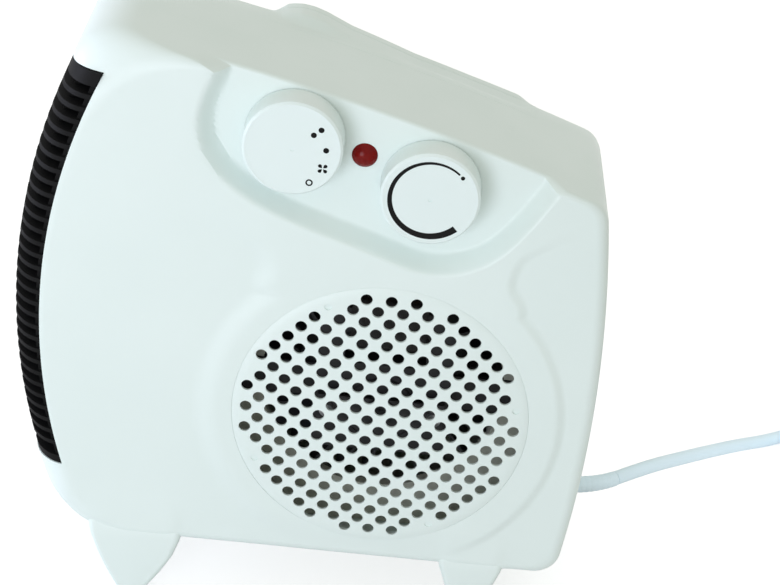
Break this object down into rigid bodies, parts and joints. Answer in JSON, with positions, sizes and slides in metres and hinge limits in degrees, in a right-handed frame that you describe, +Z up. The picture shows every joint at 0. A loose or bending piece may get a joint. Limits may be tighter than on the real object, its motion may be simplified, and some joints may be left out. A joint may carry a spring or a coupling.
{
  "type": "upright fan heater",
  "caption": "Upright white fan heater with bowed side outlet grille, round perforated intake, two rotary knobs, moulded legs and top grip.",
  "frame": {"origin": "on the floor under the middle of the case, midway along its length and midway between knob faces and rest pads", "axes": "-X is the outlet grille side, +X is the side the flex leaves from, -Y is the control side with knobs and intake, +Z is up"},
  "size_m": [0.4917, 0.2611, 0.2615],
  "materials": {
    "case_white": "satin",
    "knob_white": "satin",
    "grille_black": "satin",
    "lens_red": "gloss",
    "flex_white": "satin",
    "plug_white": "satin",
    "pin_nickel": "polished",
    "sheet_steel": "brushed",
    "screw_steel": "zinc plated",
    "lamination": "stacked sheets",
    "winding": "enamelled wire under tape",
    "bearing_bronze": "sintered",
    "air_guide": "matte",
    "fan_grey": "matte",
    "mica_board": "matte",
    "heating_alloy": "oxidised",
    "tag_brass": "satin",
    "switch_black": "matte",
    "steatite": "matte",
    "lamp_glass": "clear",
    "wire_mixed": "satin"
  },
  "bodies": {
    "casing": {"control_side_shell": "case_white", "plain_side_shell": "case_white", "carry_handle": "case_white", "outlet_grille": "grille_black", "intake_grille": "case_white", "selector_switch": "switch_black", "thermostat_body": "steatite", "thermostat_bimetal": "tag_brass", "selector_screws": "screw_steel", "thermostat_screws": "screw_steel", "indicator_lens": "lens_red", "neon_lamp": "lamp_glass", "lens_clip": "sheet_steel", "fan_shroud": "air_guide", "scroll_housing": "air_guide", "shroud_screws": "screw_steel", "scroll_screws": "screw_steel", "motor_core": "lamination", "motor_coil": "winding", "motor_front_bracket": "sheet_steel", "motor_rear_bracket": "sheet_steel", "motor_bearings": "bearing_bronze", "motor_mount": "sheet_steel", "motor_screws": "screw_steel", "heat_shield": "sheet_steel", "element_frame": "mica_board", "heating_ribbons": "heating_alloy", "element_terminals": "tag_brass", "thermal_cutout": "sheet_steel", "thermal_fuse": "sheet_steel", "cord_bushing": "flex_white", "power_cord": "flex_white", "cord_coil": "flex_white", "plug_body": "plug_white", "plug_pins": "pin_nickel", "inner_cord": "flex_white", "cord_clamp": "air_guide", "cord_clamp_screws": "screw_steel", "terminal_block": "steatite", "internal_leads": "wire_mixed", "casing_screws": "screw_steel", "side_rest_pads": "case_white"},
    "selector": {"selector_knob": "knob_white", "selector_shaft": "sheet_steel"},
    "thermostat_dial": {"thermostat_knob": "knob_white", "thermostat_shaft": "sheet_steel"},
    "fan_rotor": {"fan_impeller": "fan_grey", "fan_shaft": "sheet_steel", "impeller_clip": "sheet_steel", "motor_rotor": "lamination"}
  },
  "joints": [
    {"name": "selector_turn", "type": "hinge", "parent": "casing", "child": "selector", "pos_m": [-0.0111, -0.045, 0.2258], "axis": [0, -1, 0], "range_deg": [-33, 66]},
    {"name": "thermostat_turn", "type": "hinge", "parent": "casing", "child": "thermostat_dial", "pos_m": [0.0442, -0.045, 0.2099], "axis": [0, -1, 0], "range_deg": [-280, 0]},
    {"name": "fan_spin", "type": "hinge", "parent": "casing", "child": "fan_rotor", "pos_m": [0.0335, -0.01, 0.105], "axis": [0, 1, 0], "continuous": true}
  ]
}
